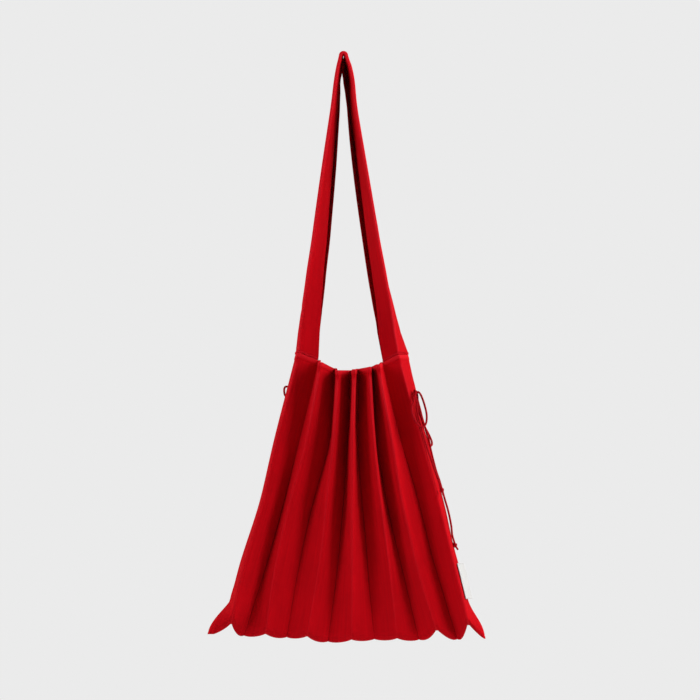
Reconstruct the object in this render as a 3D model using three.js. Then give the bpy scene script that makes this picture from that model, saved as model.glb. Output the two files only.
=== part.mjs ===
import * as THREE from "three";
import { mergeVertices } from "three/addons/utils/BufferGeometryUtils.js";

// A pleated knit shoulder bag, hanging by its strap from a thin peg at the origin.
// Millimetres, +Z up, the front of the bag faces -Y, and its width runs along X.

// Driving dimensions
const knitWall = 2; // thickness of the knit
const foldRadius = 2; // middle of the knit, round a pleat's fold
const cornerInset = foldRadius + knitWall / 2; // a corner fold's centre lies this far in
const sideFoldRadius = 6; // the softer fold down the middle of each side

const strapDrop = 344; // from the peg down to the corners of the mouth
const bodyHeight = 314; // from the corners of the mouth down to the hem's notches
const mouthWidth = 120; // across the corners of the mouth
const hemWidth = 280; // across the outermost pleats at the hem
const bodyOffset = 6; // the middle of the bag, to the right of the peg
const mouthSag = 20; // how far the mouth's edge dips between its corners
const scallopDepth = 20; // from the highest notch of the hem to its lowest lobe
const hemRound = 12; // height over which the walls turn in to the bottom

const pleatWidth = 28; // flat width of one pleat panel
const leastPleatDepth = 7; // a pleat pulled wide still keeps this much of its depth
const sideFoldWidth = 25; // flat width of half a side
const valleyAtMouth = 16; // from the middle plane to the inner folds, at the mouth
const valleyAtHem = 3.5; // and at the hem

const earStart = 0.9; // where the corners start to flare, as a share of the height
const earEnd = 1.05; // and where they are full

const strapTopRadius = 3.4; // from the bend's centre to the strap's corner fold, over the peg
const strapTopFace = 1.8; // width of the strap's turned-in face at the peg
const strapTopFold = 1.2; // middle of the knit, round the strap's corner fold at the peg
const strapEdgeGap = 1.6; // from the middle plane to the turned-in edges
const edgeEase = 3; // how late down a run those edges open to the mouth's folds
const strapTopBulge = 1; // how far the strap's side face stands out at the peg
const pegRise = 0.6; // the strap's bend is centred this far under the origin
const sideOpens = 0.7; // the share of a run where its side face starts to bulge
const leadEase = 0.8; // puts the back face's widest lead above the middle of the run

const seamHeight = 2.6; // the overlocked ridge between strap and bag
const seamProud = 0.5; // how far the ridge stands out of the knit on each side
const gap = 0.3; // clearance between pieces that meet

const labelTop = 243; // from the corners of the mouth down to the side label
const labelHeight = 41;
const labelThickness = 0.8;
const labelLift = 4.5; // how far the label's free edge stands off the side
const labelClearance = 0.9; // from the knit to its sewn edge
const labelCurl = 1.5; // how late across its width it leaves the side

const cordDiameter = 2.2; // the bows at the two sides
const bowKnotSize = 6.4;
const endKnotSize = 4.6;
const knotSegments = 10; // round a knot
const knotBands = 7; // and from pole to pole

// The folds of the front, left to right. Outer folds point away from the middle plane.
// mouth to hem: place across the width at five levels, as a share of the width there.
// sag: the edge of the mouth, as a share of mouthSag. drop: the hem, as a share of scallopDepth.
const folds = [
  { out: true, mouth: 0.007, upper: 0.006, middle: 0.014, lower: 0.0, hem: 0.005, sag: 0.0, drop: 0.0 },
  { out: false, mouth: 0.212, upper: 0.168, middle: 0.14, lower: 0.111, hem: 0.08, sag: 0.41, drop: 0.66 },
  { out: true, mouth: 0.239, upper: 0.22, middle: 0.176, lower: 0.156, hem: 0.162, sag: 0.53, drop: 0.58 },
  { out: false, mouth: 0.373, upper: 0.375, middle: 0.303, lower: 0.267, hem: 0.252, sag: 0.88, drop: 0.75 },
  { out: true, mouth: 0.404, upper: 0.399, middle: 0.378, lower: 0.36, hem: 0.334, sag: 1.0, drop: 0.72 },
  { out: false, mouth: 0.519, upper: 0.495, middle: 0.471, lower: 0.447, hem: 0.422, sag: 1.0, drop: 1.0 },
  { out: true, mouth: 0.55, upper: 0.526, middle: 0.518, lower: 0.516, hem: 0.512, sag: 0.94, drop: 0.9 },
  { out: false, mouth: 0.581, upper: 0.56, middle: 0.575, lower: 0.589, hem: 0.601, sag: 0.91, drop: 0.86 },
  { out: true, mouth: 0.681, upper: 0.668, middle: 0.676, lower: 0.691, hem: 0.694, sag: 0.82, drop: 0.83 },
  { out: false, mouth: 0.699, upper: 0.682, middle: 0.709, lower: 0.748, hem: 0.777, sag: 0.79, drop: 0.89 },
  { out: true, mouth: 0.771, upper: 0.788, middle: 0.799, lower: 0.821, hem: 0.859, sag: 0.65, drop: 0.37 },
  { out: false, mouth: 0.816, upper: 0.85, middle: 0.889, lower: 0.906, hem: 0.931, sag: 0.53, drop: 0.87 },
  { out: true, mouth: 0.99, upper: 1.002, middle: 1.024, lower: 0.998, hem: 0.996, sag: 0.09, drop: 0.06 },
];
const levelNames = ["mouth", "upper", "middle", "lower", "hem"];
const firstLevel = 0.06; // share of the height at the table's first level
const levelStep = 0.24; // and from each level to the next

// The fold down the middle of each side, as shares of sideFoldWidth. bulge: how far it stands
// out of the corner folds, at the mouth and at the hem. flare: how much further the ear reaches.
const sides = {
  left: { sign: -1, bulgeMouth: 0.06, bulgeHem: 0.06, flare: 0.88, ease: 1.1, sag: 0.1, drop: 0.58 },
  right: { sign: 1, bulgeMouth: 0.3, bulgeHem: 0.1, flare: 0.62, ease: 2.2, sag: 0.1, drop: 0.84 },
};

// The strap's two runs. firstCircle, corner and edge: the folds of the bag that the run grows out
// of. bow: how far the run curves inwards. backLead: how far its back face reaches past the front.
const runs = {
  left: { sign: -1, firstCircle: 25, corner: 0, edge: 1, side: "left", bow: 0, backLead: 2.6 },
  right: { sign: 1, firstCircle: 11, corner: 12, edge: 11, side: "right", bow: 2, backLead: 3.6 },
};

const red = new THREE.MeshStandardMaterial({ color: 0xb3070f, roughness: 0.85, metalness: 0 });
const darkRed = new THREE.MeshStandardMaterial({ color: 0x8e0a10, roughness: 0.8, metalness: 0 });
const white = new THREE.MeshStandardMaterial({ color: 0xe9e7e2, roughness: 0.7, metalness: 0 });

const mix = (a, b, share) => a + (b - a) * share;
const clamp = (value) => Math.min(1, Math.max(0, value));

// A smooth curve through a fold's places at the five levels.
function acrossAt(fold, height) {
  const places = levelNames.map((name) => fold[name]);
  const at = (height - firstLevel) / levelStep;
  const i = Math.min(places.length - 2, Math.max(0, Math.floor(at)));
  const u = at - i;
  const b = places[i];
  const c = places[i + 1];
  if (u < 0 || u > 1) return mix(b, c, u);
  const a = i > 0 ? places[i - 1] : 2 * b - c;
  const d = i + 2 < places.length ? places[i + 2] : 2 * c - b;
  return b + 0.5 * u * (c - a + u * (2 * a - 5 * b + 4 * c - d + u * (3 * (b - c) + d - a)));
}

// height: 0 at the corners of the mouth, 1 at the hem's highest notch.
const heightOf = (z) => (-z - strapDrop) / bodyHeight;

function foldX(fold, height) {
  const width = mix(mouthWidth, hemWidth, height);
  const x = bodyOffset + width * (acrossAt(fold, height) - 0.5);
  if (fold === folds[0]) return x + cornerInset;
  if (fold === folds[folds.length - 1]) return x - cornerInset;
  return x;
}

function sideBulge(side, height) {
  const flare = Math.sin((clamp((height - earStart) / (earEnd - earStart)) * Math.PI) / 2);
  const bulge = mix(side.bulgeMouth, side.bulgeHem, clamp(height)) + side.flare * flare ** side.ease;
  return sideFoldWidth * bulge;
}

// How deep the panel between two folds stands, from its flat width and the folds' distance.
function pleatDepth(distance) {
  const left = pleatWidth ** 2 - distance ** 2;
  return Math.sqrt(Math.max(left, leastPleatDepth ** 2));
}

// The circles that the knit's middle line runs round at one height, in order round the bag,
// anticlockwise from above. bend is positive where the knit bends round an outer fold.
function circlesAt(height) {
  const xs = folds.map((fold) => foldX(fold, height));
  const valley = mix(valleyAtMouth, valleyAtHem, clamp(height));
  const last = folds.length - 1;
  const front = folds.map((fold, i) => {
    let depth = valley;
    if (fold.out && i > 0 && i < last) {
      depth += (pleatDepth(xs[i] - xs[i - 1]) + pleatDepth(xs[i + 1] - xs[i])) / 2;
    }
    if (i === 0 || i === last) {
      const bulge = sideBulge(i === 0 ? sides.left : sides.right, height);
      depth = Math.sqrt(sideFoldWidth ** 2 - bulge ** 2);
    }
    const bend = fold.out ? foldRadius : -foldRadius;
    return { x: xs[i], y: -depth + bend, bend };
  });
  const back = front.map((c) => ({ x: c.x, y: -c.y, bend: c.bend })).reverse();
  const rightX = xs[last] + sideBulge(sides.right, height) - sideFoldRadius;
  const leftX = xs[0] - sideBulge(sides.left, height) + sideFoldRadius;
  const rightSide = { x: rightX, y: 0, bend: sideFoldRadius };
  const leftSide = { x: leftX, y: 0, bend: sideFoldRadius };
  return [...front, rightSide, ...back, leftSide];
}

// The direction of the straight run from one circle to the next.
function runAngle(from, to) {
  const dx = to.x - from.x;
  const dy = to.y - from.y;
  return Math.atan2(dy, dx) + Math.asin((from.bend - to.bend) / Math.hypot(dx, dy));
}

// A point on a circle where the run has that angle, moved outwards from the middle line.
function onCircle(circle, angle, outwards) {
  const reach = circle.bend + outwards;
  return [circle.x + reach * Math.sin(angle), circle.y - reach * Math.cos(angle)];
}

// How far a fold turns. It may be a little over half a turn, where the panels beside it lean over.
function turnBetween(before, after, bend) {
  const least = bend > 0 ? -Math.PI / 2 : (-3 * Math.PI) / 2;
  let turn = after - before;
  while (turn >= least + 2 * Math.PI) turn -= 2 * Math.PI;
  while (turn < least) turn += 2 * Math.PI;
  return turn;
}

const stepsRoundFold = 2;
const stepsAcrossPanel = 3;

// The columns of the body: some round each fold, and some across the panel after it.
const circleCount = 2 * folds.length + 2;
const columns = [];
for (let i = 0; i < circleCount; i++) {
  for (let k = 0; k <= stepsRoundFold; k++) {
    columns.push({ i, round: k / stepsRoundFold, across: 0 });
  }
  for (let k = 1; k < stepsAcrossPanel; k++) {
    columns.push({ i, round: 1, across: k / stepsAcrossPanel });
  }
}

// Where a column is at one height, on the surface that lies outwards of the middle line.
function columnPoint(column, circles, outwards) {
  const count = circles.length;
  const here = circles[column.i];
  const next = circles[(column.i + 1) % count];
  const before = circles[(column.i + count - 1) % count];
  const angleIn = runAngle(before, here);
  const angleOut = runAngle(here, next);
  const angle = angleIn + turnBetween(angleIn, angleOut, here.bend) * column.round;
  const start = onCircle(here, angle, outwards);
  if (!column.across) return start;
  const end = onCircle(next, angleOut, outwards);
  return [mix(start[0], end[0], column.across), mix(start[1], end[1], column.across)];
}

// The fold that a circle belongs to, with the sag and drop of the edge there.
function edgeOf(i) {
  const last = folds.length - 1;
  if (i <= last) return folds[i];
  if (i === last + 1) return sides.right;
  if (i === circleCount - 1) return sides.left;
  return folds[circleCount - 2 - i];
}

// From a notch to the lobe's low point the hem falls in a quarter round.
function hemDrop(from, to, across) {
  if (from.sign || to.sign) return mix(from.drop, to.drop, across);
  const rising = from.drop > to.drop;
  const along = rising ? 1 - across : across;
  const high = rising ? to.drop : from.drop;
  const low = rising ? from.drop : to.drop;
  return mix(high, low, Math.sin((along * Math.PI) / 2));
}

function mouthZ(column) {
  const sag = mix(edgeOf(column.i).sag, edgeOf((column.i + 1) % circleCount).sag, column.across);
  return -strapDrop - mouthSag * sag;
}

function hemZ(column) {
  const drop = hemDrop(edgeOf(column.i), edgeOf((column.i + 1) % circleCount), column.across);
  return -strapDrop - bodyHeight - scallopDepth * drop;
}

// The faces that join rings of points, ring to ring.
function ringFaces(ringCount, size) {
  const faces = [];
  for (let r = 0; r + 1 < ringCount; r++) {
    for (let c = 0; c < size; c++) {
      const a = r * size + c;
      const b = r * size + ((c + 1) % size);
      faces.push([a, b, a + size], [b, b + size, a + size]);
    }
  }
  return faces;
}

// A closed strip of cloth: each ring goes out along one face and back along the other.
function stripGeometry(rings) {
  const size = rings[0].length;
  const last = (rings.length - 1) * size;
  const faces = ringFaces(rings.length, size);
  for (let c = 0; c + 1 < size / 2; c++) {
    const d = size - 1 - c;
    faces.push([c, d, c + 1], [c + 1, d, d - 1]);
    faces.push([last + c, last + c + 1, last + d], [last + c + 1, last + d - 1, last + d]);
  }
  return solidGeometry(rings.flat(), faces);
}

function solidGeometry(points, faces) {
  const geometry = new THREE.BufferGeometry();
  geometry.setAttribute("position", new THREE.Float32BufferAttribute(points.flat(), 3));
  geometry.setIndex(faces.flat());
  const merged = mergeVertices(geometry, 1e-3);
  const kept = [];
  const index = merged.index.array;
  for (let i = 0; i < index.length; i += 3) {
    const [a, b, c] = [index[i], index[i + 1], index[i + 2]];
    if (a !== b && b !== c && a !== c) kept.push(a, b, c);
  }
  merged.setIndex(kept);
  merged.computeVertexNormals();
  return merged;
}

// Rows of the body down one surface, as shares of the straight part, then round the hem.
const straightRows = [0, 0.1, 0.3, 0.5, 0.7, 0.86, 0.93, 1];
const hemRows = [0.45, 0.8, 1];
const hemSquareness = 2.4; // 2 turns the hem in along a quarter circle, more makes it squarer

function bodyRow(row, outwards) {
  const inner = outwards < 0;
  const rounding = row > straightRows.length - 1;
  return columns.map((column) => {
    const top = mouthZ(column);
    const bottom = hemZ(column) + (inner ? knitWall : 0);
    const height = hemRound - (inner ? knitWall : 0);
    const turned = rounding ? hemRows[row - straightRows.length] : 0;
    const share = rounding ? 1 : straightRows[row];
    const z = mix(top, bottom + height, share) - height * turned;
    const flat = columnPoint(column, circlesAt(heightOf(z)), outwards);
    const narrowed = (1 - turned ** hemSquareness) ** (1 / hemSquareness);
    return [flat[0], flat[1] * narrowed, z];
  });
}

function pleatedBody() {
  const rowCount = straightRows.length + hemRows.length;
  const rows = Array.from({ length: rowCount }, (_, r) => r);
  const inside = rows.map((r) => bodyRow(r, -knitWall / 2)).reverse();
  const outside = rows.map((r) => bodyRow(r, knitWall / 2));
  // The inner surface comes up from the bottom, turns over the mouth's edge and goes down outside.
  const rings = [...inside, ...outside].reverse();
  return solidGeometry(rings.flat(), ringFaces(rings.length, columns.length));
}

// The strap's section: from its front edge round the corner folds and the side to its back edge.
const strapColumns = [];
for (let i = 0; i < 4; i++) {
  const steps = i === 0 ? [1] : [0, 0.5, 1];
  for (const round of steps) strapColumns.push({ i, round, across: 0 });
  strapColumns.push({ i, round: 1, across: 0.5 });
}
strapColumns.push({ i: 4, round: 0, across: 0 });

// The strap's five circles at a share of its run, 0 at the peg and 1 at the bag, with its
// corner fold at x 0 and its side face towards +X.
function strapCircles(run, share) {
  const cornerX = foldX(folds[run.corner], 0);
  const bagFace = Math.abs(foldX(folds[run.edge], 0) - cornerX);
  const face = mix(strapTopFace, bagFace, share);
  const bagBulge = sideBulge(sides[run.side], 0);
  const bulge = mix(strapTopBulge, bagBulge, clamp((share - sideOpens) / (1 - sideOpens)) ** 2);
  const depth = Math.sqrt(sideFoldWidth ** 2 - bulge ** 2);
  const lead = run.backLead * Math.sin(Math.PI * share ** leadEase);
  const bend = -foldRadius * share;
  const corner = mix(strapTopFold, foldRadius, Math.sqrt(share));
  const edgeDepth = (width) => {
    const turned = Math.sqrt(Math.max(pleatWidth ** 2 - width ** 2, 0));
    const opened = share ** edgeEase;
    return mix(Math.max(depth - turned, strapEdgeGap), valleyAtMouth, opened) - bend;
  };
  return [
    { x: -face, y: -edgeDepth(face), bend },
    { x: 0, y: -depth + corner, bend: corner },
    { x: bulge - sideFoldRadius, y: 0, bend: sideFoldRadius },
    { x: 0, y: depth - corner, bend: corner },
    { x: -face - lead, y: edgeDepth(face + lead), bend },
  ];
}

// A column of the strap's section, without the wrap round that the bag's own columns have.
function strapPoint(column, circles, outwards) {
  const here = circles[column.i];
  const next = circles[Math.min(column.i + 1, circles.length - 1)];
  const before = circles[Math.max(column.i - 1, 0)];
  const angleOut = column.i < circles.length - 1 ? runAngle(here, next) : runAngle(before, here);
  const angleIn = column.i > 0 ? runAngle(before, here) : angleOut;
  const angle = angleIn + turnBetween(angleIn, angleOut, here.bend) * column.round;
  const start = onCircle(here, angle, outwards);
  if (!column.across) return start;
  const end = onCircle(next, angleOut, outwards);
  return [mix(start[0], end[0], column.across), mix(start[1], end[1], column.across)];
}

// The strap's columns along the mouth's edge of the bag, front to back, raised off it.
function edgeOfBag(run, outwards, rise) {
  const points = strapColumns.map((column) => {
    const under = { ...column, i: (run.firstCircle + column.i) % circleCount };
    const z = mouthZ(under);
    const [x, y] = columnPoint(under, circlesAt(heightOf(z)), outwards);
    return [x, y, z + rise];
  });
  return run.sign > 0 ? points : points.reverse();
}

// A ring of the strap: its columns on the outer face, then back along the inner face.
function sectionRing(circles, thickness, place) {
  const ring = [];
  const there = strapColumns.map((column) => [column, thickness / 2]);
  const back = strapColumns.map((column) => [column, -thickness / 2]).reverse();
  for (const [column, outwards] of [...there, ...back]) {
    ring.push(place(...strapPoint(column, circles, outwards)));
  }
  return ring;
}

// Rings of each run above the seam, as shares of the run, from the bag up.
const runShares = [0.93, 0.84, 0.72, 0.58, 0.44, 0.3, 0.18, 0.08];
const bendSteps = 6; // over the peg

function runCorner(run, share) {
  const bagCorner = Math.abs(foldX(folds[run.corner], 0));
  return mix(strapTopRadius, bagCorner, share) - run.bow * Math.sin(Math.PI * share);
}

function runRing(run, share) {
  const corner = runCorner(run, share);
  const level = -pegRise - share * (strapDrop - pegRise);
  const place = (x, y) => [run.sign * (corner + x), y, level];
  return sectionRing(strapCircles(run, share), knitWall, place);
}

// The strap's end on the ridge that joins it to the bag.
function endRing(run) {
  const rise = 2 * gap + seamHeight;
  return [...edgeOfBag(run, knitWall / 2, rise), ...edgeOfBag(run, -knitWall / 2, rise).reverse()];
}

// Over the peg the section turns from upright to level and down again.
function bendRing(turn) {
  const circles = strapCircles(runs.left, 0);
  const angle = Math.PI * (1 - turn);
  return sectionRing(circles, knitWall, (x, y) => {
    const reach = strapTopRadius + x;
    return [reach * Math.cos(angle), y, reach * Math.sin(angle) - pegRise];
  });
}

function strapBand() {
  const left = [endRing(runs.left), ...runShares.map((share) => runRing(runs.left, share))];
  const over = Array.from({ length: bendSteps + 1 }, (_, k) => bendRing(1 - k / bendSteps));
  const right = [endRing(runs.right), ...runShares.map((share) => runRing(runs.right, share))];
  return stripGeometry([...right, ...over, ...left.reverse()]);
}

// The overlocked ridge that joins one run of the strap to the bag.
function seamRidge(run) {
  const out = knitWall / 2 + seamProud;
  const top = gap + seamHeight;
  const outside = [edgeOfBag(run, out, gap), edgeOfBag(run, out, top)];
  const inside = [edgeOfBag(run, -out, top), edgeOfBag(run, -out, gap)];
  const edges = [...outside, ...inside];
  const across = strapColumns.map((_, c) => edges.map((points) => points[c]));
  return stripGeometry(run.sign < 0 ? across : across.reverse());
}

// The woven label, sewn along its front edge to the right side and lifting off it behind.
const labelRows = 4; // down its height
const labelColumns = [0.22, 0.5, 0.78, 0.98]; // across the panel behind the right corner fold

function sideLabel() {
  const rings = Array.from({ length: labelRows }, (_, r) => {
    const height = (labelTop + (labelHeight * r) / (labelRows - 1)) / bodyHeight;
    const z = -strapDrop - height * bodyHeight;
    const circles = circlesAt(height);
    const face = (thickness) =>
      labelColumns.map((across, c) => {
        const lift = labelLift * (c / (labelColumns.length - 1)) ** labelCurl;
        const column = { i: folds.length - 1, round: 1, across };
        const [x, y] = columnPoint(column, circles, knitWall / 2 + labelClearance + lift + thickness);
        return [x, y, z];
      });
    return [...face(0), ...face(labelThickness).reverse()];
  });
  return stripGeometry(rings);
}

// The bows' cords. Each route runs from its knot and keeps its points as chosen.
const cordSides = 8;
const cordStep = 2.6 * cordDiameter;

function cordGeometry(route) {
  const curve = new THREE.CatmullRomCurve3(route.map((point) => new THREE.Vector3(...point)));
  const section = new THREE.Shape(
    Array.from({ length: cordSides }, (_, k) => {
      const angle = (2 * Math.PI * k) / cordSides;
      const radius = cordDiameter / 2;
      return new THREE.Vector2(radius * Math.cos(angle), radius * Math.sin(angle));
    }),
  );
  const steps = Math.ceil(curve.getLength() / cordStep);
  return new THREE.ExtrudeGeometry(section, { extrudePath: curve, steps, bevelEnabled: false });
}

function knotMesh(size, place, stretch) {
  const geometry = new THREE.SphereGeometry(size / 2, knotSegments, knotBands);
  geometry.scale(...stretch);
  geometry.translate(...place);
  return geometry;
}

const cordRoutes = {
  right_round_loop: [
    [85.5, -19.5, -388.9], [87.0, -20.4, -389.4], [89.2, -21.0, -392.2], [91.8, -21.0, -398.4],
    [94.1, -21.3, -405.9],
    [95.8, -21.8, -413.4], [96.1, -22.2, -419.8], [95.3, -23.0, -425.0], [92.8, -26.0, -428.8],
    [89.2, -28.0, -429.2], [85.8, -28.6, -426.4], [83.3, -28.4, -421.5], [81.4, -28.4, -415.8],
    [80.5, -28.2, -410.5], [80.9, -28.0, -405.3], [82.1, -27.8, -400.7], [82.6, -27.2, -396.1],
    [82.9, -25.6, -391.9], [83.3, -23.2, -389.9], [83.5, -21.2, -389.3],
  ],
  right_long_loop: [
    [85.0, -15.6, -390.5], [87.9, -12.5, -396.1], [89.7, -10.5, -403.0], [91.6, -9.5, -411.1],
    [93.5, -9.0, -419.2], [95.3, -9.0, -427.3], [98.1, -9.0, -435.4], [100.9, -9.5, -442.4],
    [102.5, -11.0, -447.6], [102.0, -13.4, -451.9], [99.7, -16.0, -452.3], [97.9, -18.0, -448.8],
    [96.2, -18.8, -442.4], [94.4, -19.0, -435.4], [92.5, -18.8, -427.9], [90.4, -18.2, -419.8],
    [88.6, -17.8, -411.7], [86.8, -17.8, -403.6], [86.2, -18.6, -397.0], [85.6, -18.8, -393.4],
    [84.9, -18.4, -391.4],
  ],
  right_long_tail: [
    [83.6, -14.0, -388.5], [85.0, -11.4, -389.4], [87.9, -8.0, -393.8], [89.7, -5.0, -400.7], [91.8, -3.5, -410.0],
    [93.9, -3.0, -419.2], [96.0, -3.0, -428.5], [98.3, -3.0, -437.8], [100.4, -3.2, -445.9],
    [102.5, -3.6, -454.0], [105.5, -4.0, -464.4], [109.4, -4.4, -477.1], [113.6, -4.8, -491.0],
    [117.8, -5.0, -504.9], [121.0, -5.0, -517.7], [123.8, -5.0, -529.2], [125.6, -5.0, -540.8],
    [126.8, -5.0, -551.2], [127.8, -5.0, -558.2], [128.4, -5.0, -563.5],
  ],
  right_short_tail: [
    [82.7, -19.6, -391.5], [83.4, -21.6, -394.4], [84.0, -23.2, -397.6], [84.4, -24.2, -404.2], [85.1, -24.6, -411.1],
    [86.5, -24.6, -418.1], [88.4, -24.4, -425.0], [90.2, -24.4, -432.0], [92.1, -24.4, -438.9],
    [94.1, -24.4, -445.9], [96.7, -24.4, -454.0], [99.5, -24.4, -462.1], [102.3, -24.4, -470.2],
    [105.0, -24.4, -478.3], [108.0, -24.4, -486.4], [110.6, -24.4, -493.3], [112.4, -24.4, -499.1],
  ],
  left_round_loop: [
    [-60.2, 29.3, -386.2], [-63.2, 28.6, -383.4], [-66.4, 26.2, -382.4], [-68.4, 23, -383],
    [-69.4, 19.4, -384.8], [-69.4, 16, -387.6], [-69.4, 13.8, -391], [-69.4, 13.6, -394.6],
    [-69.4, 15.2, -398], [-69.4, 18, -400.4], [-69.2, 21.4, -401.4], [-68.6, 25.2, -400.8],
    [-66.8, 28, -398.8], [-65.2, 29.6, -394.8], [-63.4, 30.2, -391.8], [-61.6, 30, -390.5],
  ],
  left_long_loop: [
    [-59.1, 28.7, -392.1], [-58.9, 29.6, -397], [-58.8, 30.4, -404], [-59.2, 30.8, -412],
    [-59.6, 31.2, -420], [-60, 31.6, -428], [-60.6, 32, -436], [-61.8, 32.4, -443],
    [-64, 32.6, -447.6], [-67, 32.6, -448], [-69, 32.4, -444], [-69, 32, -438],
    [-68, 31.6, -430], [-66.8, 31.2, -422], [-65.6, 30.8, -414], [-64.2, 30.6, -406],
    [-62.6, 31.6, -399.5], [-61.4, 32.6, -394.6], [-60, 31.6, -390.9],
  ],
  left_long_tail: [
    [-56.6, 30, -391.1], [-55.6, 30.4, -393.2], [-55, 30.2, -397.4], [-54.8, 30, -404], [-54.8, 30.6, -414],
    [-55, 31.8, -426], [-55.2, 33, -438], [-55.4, 34.2, -450], [-55.6, 35.4, -462],
    [-55.8, 36.4, -474], [-55.9, 37, -486], [-56, 37.2, -498], [-56, 37, -510],
    [-56.1, 36.6, -522], [-56.2, 36.2, -534], [-56.2, 35.8, -546], [-56.3, 35.5, -556],
    [-56.3, 35.2, -565],
  ],
  left_short_tail: [
    [-55.6, 28.7, -388.7], [-53.6, 28.4, -389.3], [-51.8, 28.4, -392], [-50.8, 29, -396], [-50.2, 30.4, -404],
    [-50, 31.8, -413], [-50, 33.2, -422], [-50, 34.6, -431], [-50, 36, -440],
    [-50.1, 37, -449], [-50.2, 37.8, -458], [-50.3, 38.2, -467], [-50.4, 38.2, -476],
    [-50.4, 38, -484], [-50.5, 37.6, -491], [-50.5, 37.2, -496],
  ],
};

const knots = [
  { name: "right_bow_knot", size: bowKnotSize, place: [83.0, -17.6, -388.9], stretch: [0.8, 1, 0.85] },
  { name: "right_long_tail_knot", size: endKnotSize, place: [128.9, -5.0, -566.3], stretch: [0.9, 0.9, 1] },
  { name: "right_short_tail_knot", size: endKnotSize, place: [113.4, -24.4, -502.1], stretch: [0.9, 0.9, 1] },
  { name: "left_bow_knot", size: bowKnotSize, place: [-58.8, 29, -389], stretch: [0.9, 0.8, 0.85] },
  { name: "left_long_tail_knot", size: endKnotSize, place: [-56.3, 35.1, -567.8], stretch: [0.9, 0.9, 1] },
  { name: "left_short_tail_knot", size: endKnotSize, place: [-50.5, 37, -498.8], stretch: [0.9, 0.9, 1] },
];

const group = new THREE.Group();

function add(name, geometry, material) {
  const mesh = new THREE.Mesh(geometry, material);
  mesh.name = name;
  group.add(mesh);
}

add("body", pleatedBody(), red);
add("strap", strapBand(), red);
add("left_strap_seam", seamRidge(runs.left), darkRed);
add("right_strap_seam", seamRidge(runs.right), darkRed);
add("side_label", sideLabel(), white);
for (const [name, route] of Object.entries(cordRoutes)) add(name, cordGeometry(route), darkRed);
for (const knot of knots) add(knot.name, knotMesh(knot.size, knot.place, knot.stretch), darkRed);

export default group;
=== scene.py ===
import math

import bpy
from mathutils import Matrix, Vector, noise


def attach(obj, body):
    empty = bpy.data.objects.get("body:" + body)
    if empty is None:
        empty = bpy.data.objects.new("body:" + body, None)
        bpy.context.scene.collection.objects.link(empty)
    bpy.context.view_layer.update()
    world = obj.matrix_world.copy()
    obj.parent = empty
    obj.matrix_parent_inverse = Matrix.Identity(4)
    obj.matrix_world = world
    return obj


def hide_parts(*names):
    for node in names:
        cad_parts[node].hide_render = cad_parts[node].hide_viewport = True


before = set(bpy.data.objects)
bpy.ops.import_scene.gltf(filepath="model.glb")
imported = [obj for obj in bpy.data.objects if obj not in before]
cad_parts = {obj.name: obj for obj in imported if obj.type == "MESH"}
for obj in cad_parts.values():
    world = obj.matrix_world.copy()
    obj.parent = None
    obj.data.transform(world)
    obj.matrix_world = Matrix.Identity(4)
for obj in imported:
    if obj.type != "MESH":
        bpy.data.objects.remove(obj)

mm = 0.001
scene = bpy.context.scene
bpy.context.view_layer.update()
print("frame loaded")


# everyday helpers

def deselectAll():
    if bpy.context.object and bpy.context.object.mode != "OBJECT":
        bpy.ops.object.mode_set(mode="OBJECT")
    bpy.ops.object.select_all(action="DESELECT")


def takeUp(obj):
    deselectAll()
    obj.select_set(True)
    bpy.context.view_layer.objects.active = obj


def joinTo(obj, other):
    takeUp(obj)
    other.select_set(True)
    bpy.ops.object.join()


def finishWith(obj, kind, **settings):
    takeUp(obj)
    modifier = obj.modifiers.new(kind.lower(), kind)
    for key, value in settings.items():
        setattr(modifier, key, value)
    bpy.ops.object.modifier_apply(modifier=modifier.name)


def smooth(obj, degrees=50):
    takeUp(obj)
    bpy.ops.object.shade_smooth_by_angle(angle=math.radians(degrees))


def mix(a, b, share):
    return a + (b - a) * share


def clamp(value):
    return min(1.0, max(0.0, value))


def ease(value):
    t = clamp(value)
    return t * t * (3 - 2 * t)


# a smooth way from b to c that takes up the run of a before them and d after them
def passThrough(a, b, c, d, u):
    return b + 0.5 * u * (c - a + u * (2 * a - 5 * b + 4 * c - d + u * (3 * (b - c) + d - a)))


# how far along a line each of its points lies
def lengthsAlong(line):
    lengths = [0.0]
    for p, q in zip(line, line[1:]):
        lengths.append(lengths[-1] + (q - p).length)
    return lengths


def drift(x, y, z=0.0):
    return noise.noise(Vector((x, y, z)))  # smooth, the same in every run, about -0.7 to 0.7


# A flat grid is laid out first, then each of its points is carried to the form.
# The UV map named cloth keeps the flat distances, in metres, for knit, weave and braid.
def layCloth(name, across, down, place, flat):
    deselectAll()
    bpy.ops.mesh.primitive_grid_add(x_subdivisions=across, y_subdivisions=down, size=2, calc_uvs=True)
    obj = bpy.context.object
    obj.name = name
    mesh = obj.data
    mesh.name = name
    spots = [(round((v.co.x + 1) / 2 * across), round((v.co.y + 1) / 2 * down)) for v in mesh.vertices]
    for vertex, (c, r) in zip(mesh.vertices, spots):
        vertex.co = Vector(place(c, r)) * mm
    cloth = mesh.uv_layers[0]
    cloth.name = "cloth"
    for loop in mesh.loops:
        u, v = flat(*spots[loop.vertex_index])
        cloth.data[loop.index].uv = (u * mm, v * mm)
    return obj, spots


def markPoints(obj, spots, name, value):
    layer = obj.data.attributes.new(name, "FLOAT", "POINT")
    for i, (c, r) in enumerate(spots):
        layer.data[i].value = value(c, r)


def closeUp(obj, reach=0.02):
    takeUp(obj)
    bpy.ops.object.mode_set(mode="EDIT")
    bpy.ops.mesh.select_all(action="SELECT")
    bpy.ops.mesh.remove_doubles(threshold=reach * mm)
    bpy.ops.mesh.normals_make_consistent(inside=False)
    bpy.ops.object.mode_set(mode="OBJECT")


# camera

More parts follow.
